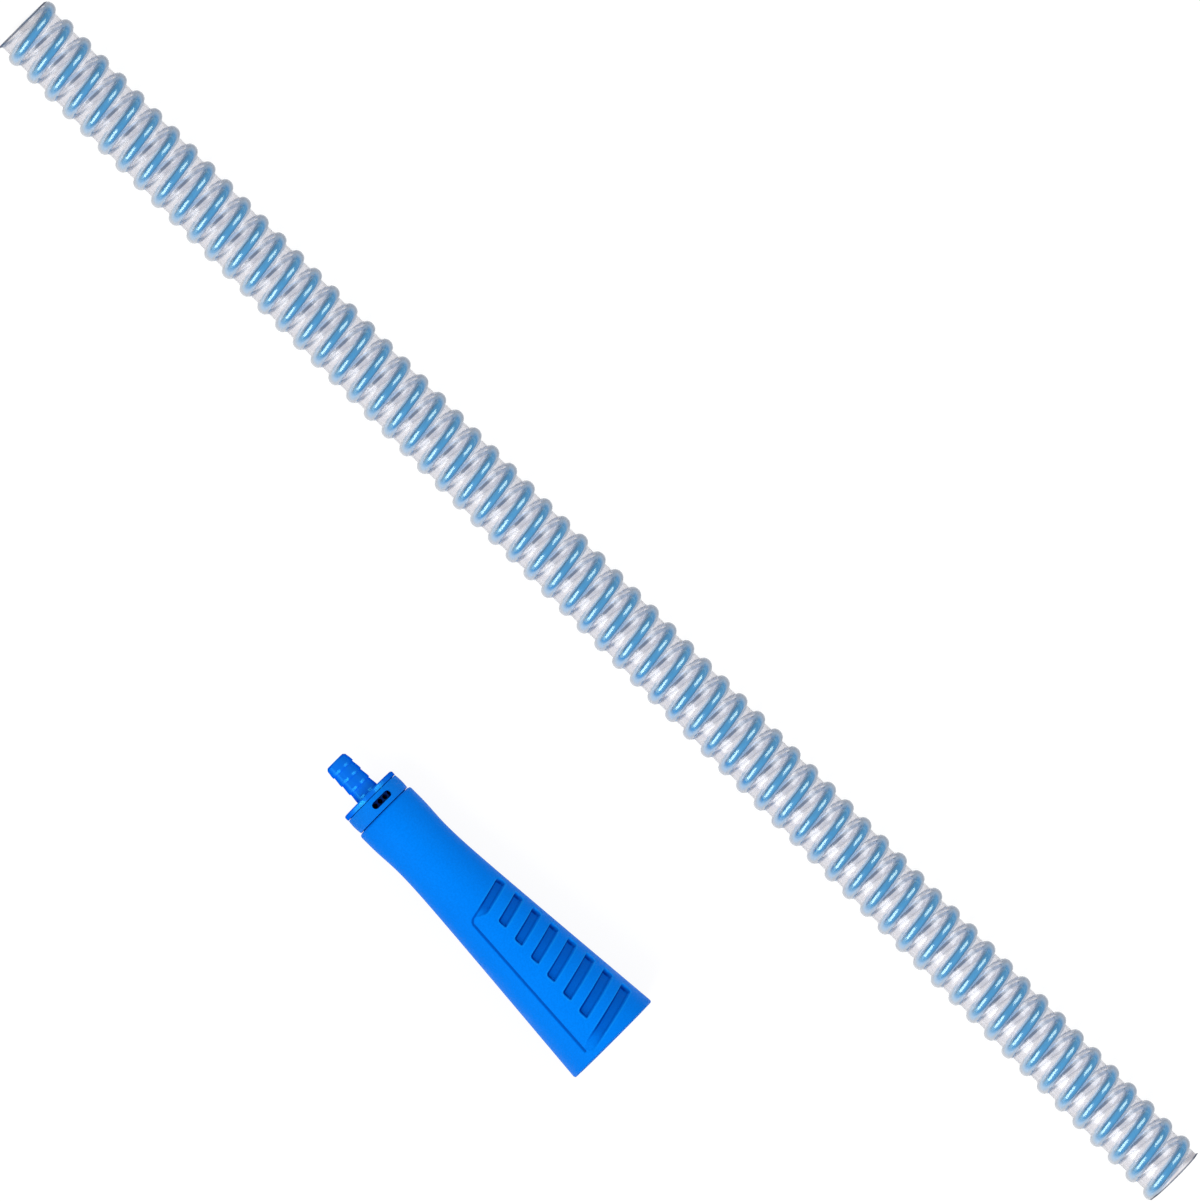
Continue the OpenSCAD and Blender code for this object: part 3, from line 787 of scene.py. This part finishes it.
def clear_bore_material():
    """The bore: a faint milk, and the far side of the rod through it, pale blue with painted shade along
    one flank.
    """
    g = Graph("clear_bore")
    off, y, z = hose_place(g)[2:]
    cloud = g.noise(180, 3)
    edge = g.grazing()
    facing = g.span(edge, 0.17, 0.06)
    far_rod = g.between(off, FAR_ROD)
    glow = g.between(off, FAR_GLOW)
    # The wall bends the far side's painted shade line until it stands square across the hose
    below = g.span(z, 1.0, -1.0)
    bent = g.math("MULTIPLY_ADD", g.math("MULTIPLY", y, below), FAR_BEND, off)
    line_seen = g.math("MAXIMUM", facing, g.span(edge, 0.42, 0.2, 0.0, 0.45))
    # The dark line is painted shade on the far rod's flank
    line = g.math("MULTIPLY", g.between(bent, FAR_SHADE_LINE), line_seen)
    colour = g.mix(glow, BORE_MILK, g.mix(facing, BACK_GREY, BACK_BLUE))
    colour = g.mix(line, colour, BACK_SHADE_NAVY)
    density = g.math("MULTIPLY_ADD", cloud, BORE_CLOUDS, BORE_HAZE)
    density = g.math("MAXIMUM", density, g.math("MULTIPLY", far_rod, FAR_ROD_MILK))
    density = g.math("MAXIMUM", density, g.math("MULTIPLY", glow, FAR_GLOW_MILK))
    g.links.new(g.milk(BORE_CLEAR, colour, density, 0.5), g.output)
    return g.material


def cut_material():
    """The sawn end of the wall, matt and darker."""
    g = Graph("cut_face")
    marks = g.noise(900, 2, (1, 1, 0.15))
    g.put(g.shader.inputs["Base Color"], g.mix(marks, SAWN_DARK, SAWN_LIGHT))
    g.shader.inputs["Roughness"].default_value = 0.55
    g.put(g.shader.inputs["Normal"], g.bump(marks, 0.0002))
    return g.material


def rod_material():
    """The rigid blue rod, with painted shade on its flanks, stronger on the left."""
    g = Graph("spiral_blue")
    off = hose_place(g)[2]
    flow = g.noise(90, 2, (0.2, 1, 1))
    colour = g.mix(g.span(flow, 0.3, 0.7), ROD_BLUE, ROD_LIGHT)
    # Painted shade along the rod's flanks, stronger on its left
    left = g.math("MULTIPLY", g.span(off, -0.3, -0.9), 0.7)
    flank = g.math("MAXIMUM", left, g.span(off, 1.4, 2.0))
    colour = g.mix(g.math("MULTIPLY", flank, 0.7), colour, ROD_SHADE)
    g.put(g.shader.inputs["Base Color"], colour)
    g.put(g.shader.inputs["Roughness"], g.math("MULTIPLY_ADD", flow, 0.15, 0.25))
    g.shader.inputs["Specular IOR Level"].default_value = 0.4
    return g.material


# The mouldings' colours, in linear values
# The deep colours darken the grain's flecks, and the body's one also serves as its painted shade
BODY_BLUE, BODY_DEEP = (0.0001, 0.222, 1.0), (0.0, 0.035, 0.30)
RING_BLUE, RING_DEEP = (0.002, 0.225, 0.93), (0.0, 0.05, 0.4)
# The painted highlight on the slots' rims
RIM_HIGHLIGHT_BLUE = (0.01, 0.36, 1.0)
GLOSS_BLUE = (0.1, 0.5, 1.0)
SPIGOT_BLUE, SPIGOT_LIGHT = (0.0004, 0.135, 0.90), (0.0006, 0.165, 1.0)
SPIGOT_DEEP = (0.002, 0.010, 0.10)
SPIGOT_GLOSS = (0.05, 0.72, 1.0)
RUBBER_BLACK, RUBBER_DUST = (0.02, 0.02, 0.022), (0.09, 0.09, 0.095)
# How far a moulding's colour wanders
LIGHTER, DARKER = 1.07, 0.93


def moulded_material(name, colour, deep, roughness, grain_size, grain_height, specular, shaded=False):
    """Satin moulded plastic: a fine grain, slow changes of tone, and rubbed spots that are smoother.
    A shaded one also reads the mesh's painted shade on walls and painted highlight on rims."""
    g = Graph(name)
    slow = g.noise(14, 3)
    fine = g.noise(grain_size, 2)
    wear = g.span(g.noise(60, 4), 0.52, 0.72)
    lighter = tuple(min(1.0, c * LIGHTER) for c in colour)
    darker = tuple(c * DARKER for c in colour)
    base = g.mix(g.span(slow, 0.3, 0.7), darker, lighter)
    base = g.mix(g.math("MULTIPLY", g.span(fine, 0.35, 0.65), 0.10), base, deep)
    if shaded:
        # Painted shade in the slots and the border, and a painted highlight on the slots' rims, from the
        # mesh
        tone = g.attribute("shade")
        base = g.mix(g.math("MULTIPLY", tone, 1, clamp=True), base, deep)
        base = g.mix(g.math("MULTIPLY", tone, -0.5, clamp=True), base, RIM_HIGHLIGHT_BLUE)
    g.put(g.shader.inputs["Base Color"], base)
    g.put(g.shader.inputs["Roughness"], g.math("MULTIPLY_ADD", wear, -0.08, roughness))
    g.shader.inputs["Specular IOR Level"].default_value = specular
    g.put(g.shader.inputs["Specular Tint"], GLOSS_BLUE)
    g.put(g.shader.inputs["Normal"], g.bump(fine, grain_height))
    return g.material


def spigot_material():
    """The spigot's satin blue, and the same plastic in deep shade where the ring covers its neck."""
    g = Graph("spigot_blue")
    slow, fine = g.noise(40, 3), g.noise(900, 2)
    reach = g.nodes.new("ShaderNodeVectorMath")
    reach.operation = "DOT_PRODUCT"
    g.links.new(g.place(), reach.inputs[0])
    reach.inputs[1].default_value = tuple(AXIS)
    station = g.math("MULTIPLY_ADD", reach.outputs["Value"], 1 / MM, -float(FRONT @ AXIS))
    covered = g.span(station, FLANGE_BACK, FLANGE_BACK + 0.15)
    base = g.mix(g.span(slow, 0.3, 0.7), SPIGOT_BLUE, SPIGOT_LIGHT)
    base = g.mix(covered, base, SPIGOT_DEEP)
    g.put(g.shader.inputs["Base Color"], base)
    g.put(g.shader.inputs["Roughness"], g.math("MULTIPLY_ADD", slow, 0.10, 0.14))
    grain = g.bump(fine, 0.00002)
    g.put(g.shader.inputs["Normal"], grain)
    # A tinted gloss instead of the shader's own, which turns white at the edge
    g.shader.inputs["Specular IOR Level"].default_value = 0
    gloss = g.add("ShaderNodeBsdfGlossy", Color=SPIGOT_GLOSS, Roughness=0.22, Normal=grain)
    mirrored = g.span(g.grazing(), 0.15, 0.5, 0.17, 0.01)
    share = g.math("MULTIPLY", mirrored, g.math("MULTIPLY_ADD", covered, -0.95, 1.0))
    g.links.new(g.mix_shader(share, g.shader.outputs[0], gloss), g.output)
    return g.material


def rubber_material():
    """Matt black rubber with a little dust."""
    g = Graph("seal_rubber")
    dust = g.span(g.noise(700, 3), 0.55, 0.75)
    base = g.mix(g.math("MULTIPLY", dust, 0.3), RUBBER_BLACK, RUBBER_DUST)
    g.put(g.shader.inputs["Base Color"], base)
    g.put(g.shader.inputs["Roughness"], g.math("MULTIPLY_ADD", dust, 0.15, 0.6))
    return g.material


def give(obj, *materials):
    """Sets an object's materials. Clearing resets the faces' slots, so it is done only when needed."""
    if obj.data.materials:
        obj.data.materials.clear()
    for material in materials:
        obj.data.materials.append(material)


# --- Hose ---
wall = make_hose_wall()
rod = make_hose_rod()
give(wall, clear_outside_material(), clear_bore_material(), cut_material())
give(rod, rod_material())
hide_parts("hose_tube")
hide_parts("hose_spiral")
# The clear wall lets the lamps through to the rod
wall.visible_shadow = False

# --- Adapter ---
shell = make_adapter_body()
body_blue = moulded_material(
    "adapter_blue",
    BODY_BLUE,
    BODY_DEEP,
    roughness=0.5,
    grain_size=1400,
    grain_height=0.00008,
    specular=0.07,
    shaded=True,
)
ring_blue = moulded_material(
    "ring_blue",
    RING_BLUE,
    RING_DEEP,
    roughness=0.55,
    grain_size=2200,
    grain_height=0.00025,
    specular=0.15,
)
rubber = rubber_material()
give(shell, body_blue)
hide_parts("adapter_body")
give(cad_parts["spigot"], spigot_material())
give(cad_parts["bleed_ring"], ring_blue)
give(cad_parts["ring_seal_front"], rubber)
give(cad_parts["ring_seal_rear"], rubber)


# --- Floor, lights and camera ---
def make_floor():
    """A white floor that keeps a faint shadow. It glows for the eye and in what mirrors it or lets it
    through, and not onto the object."""
    size, glow = 9.0, 0.87
    mesh = bpy.data.meshes.new("floor")
    corners = [(-size, -size, 0), (size, -size, 0), (size, size, 0), (-size, size, 0)]
    mesh.from_pydata(corners, [], [(0, 1, 2, 3)])
    floor = bpy.data.objects.new("floor", mesh)
    bpy.context.scene.collection.objects.link(floor)
    g = Graph("floor_white")
    g.shader.inputs["Base Color"].default_value = (0.2, 0.2, 0.2, 1)
    g.shader.inputs["Roughness"].default_value = 0.9
    g.shader.inputs["Specular IOR Level"].default_value = 0
    path = g.nodes.new("ShaderNodeLightPath")
    seen = g.math("MAXIMUM", path.outputs["Is Camera Ray"], path.outputs["Is Glossy Ray"])
    seen = g.math("MAXIMUM", seen, path.outputs["Is Transmission Ray"])
    g.shader.inputs["Emission Color"].default_value = (1, 1, 1, 1)
    g.put(g.shader.inputs["Emission Strength"], g.math("MULTIPLY", seen, glow))
    give(floor, g.material)


def make_softbox(name, azimuth, from_vertical, distance, size, radiance):
    """A soft lamp that faces the origin, placed by angles in degrees and a distance in metres. The
    radiance is 1 where the lamp itself would look white."""
    light = bpy.data.lights.new(name, "AREA")
    light.shape = "RECTANGLE"
    light.size, light.size_y = size
    light.energy = radiance * math.pi * size[0] * size[1]
    lamp = bpy.data.objects.new(name, light)
    bpy.context.scene.collection.objects.link(lamp)
    turn, rise = math.radians(azimuth), math.radians(from_vertical)
    out = math.sin(rise)
    place = Vector((math.cos(turn) * out, math.sin(turn) * out, math.cos(rise))) * distance
    lamp.location = place
    lamp.rotation_euler = (-place).to_track_quat("-Z", "Y").to_euler()
    lamp.visible_camera = False


# Name, azimuth, angle from the vertical, distance, size and radiance. The first two are what the
# streaks along the hose's strokes mirror
SOFTBOXES = [
    ("softbox_far", 76, 47, 4.0, (1.9, 3.1), 3.3),
    ("softbox_near", -76, 49, 4.0, (1.9, 3.7), 4.3),
    ("softbox_left", 180, 62, 4.5, (3.5, 2.5), 0.8),
    ("softbox_low", -95, 78, 4.5, (4.0, 1.6), 0.9),
]
# The world's level on the object. The camera sees it at 1
WORLD_LEVEL = 0.36


def make_lights():
    """The soft lamps, and a world that is white where the camera sees it."""
    for softbox in SOFTBOXES:
        make_softbox(*softbox)
    world = bpy.data.worlds.new("studio")
    bpy.context.scene.world = world
    world.use_nodes = True
    nodes, links = world.node_tree.nodes, world.node_tree.links
    background = nodes["Background"]
    background.inputs["Color"].default_value = (1, 1, 1, 1)
    level = nodes.new("ShaderNodeMapRange")
    level.inputs["To Min"].default_value = WORLD_LEVEL
    level.inputs["To Max"].default_value = 1.0
    links.new(nodes.new("ShaderNodeLightPath").outputs["Is Camera Ray"], level.inputs["Value"])
    links.new(level.outputs[0], background.inputs["Strength"])


def make_camera():
    """From far above, leaning a little to the left, with the hose at 45 degrees across the picture."""
    # Millimetres that the picture shows across, and the point in its middle
    frame_width = 461.54
    middle = Vector((0.266, 61.38, HOSE_Z))
    distance = 12000
    lean, roll = math.radians(-2.2), math.radians(45)
    turn = Matrix.Rotation(lean, 4, "Y") @ Matrix.Rotation(roll, 4, "Z")
    data = bpy.data.cameras.new("camera")
    data.sensor_fit = "HORIZONTAL"
    data.lens = data.sensor_width * distance / frame_width
    data.clip_end = 50
    camera = bpy.data.objects.new("camera", data)
    bpy.context.scene.collection.objects.link(camera)
    camera.location = (middle + turn @ Vector((0, 0, distance))) * MM
    camera.rotation_euler = turn.to_euler()
    bpy.context.scene.camera = camera


make_floor()
make_lights()
make_camera()
bpy.context.scene.view_settings.view_transform = "Standard"
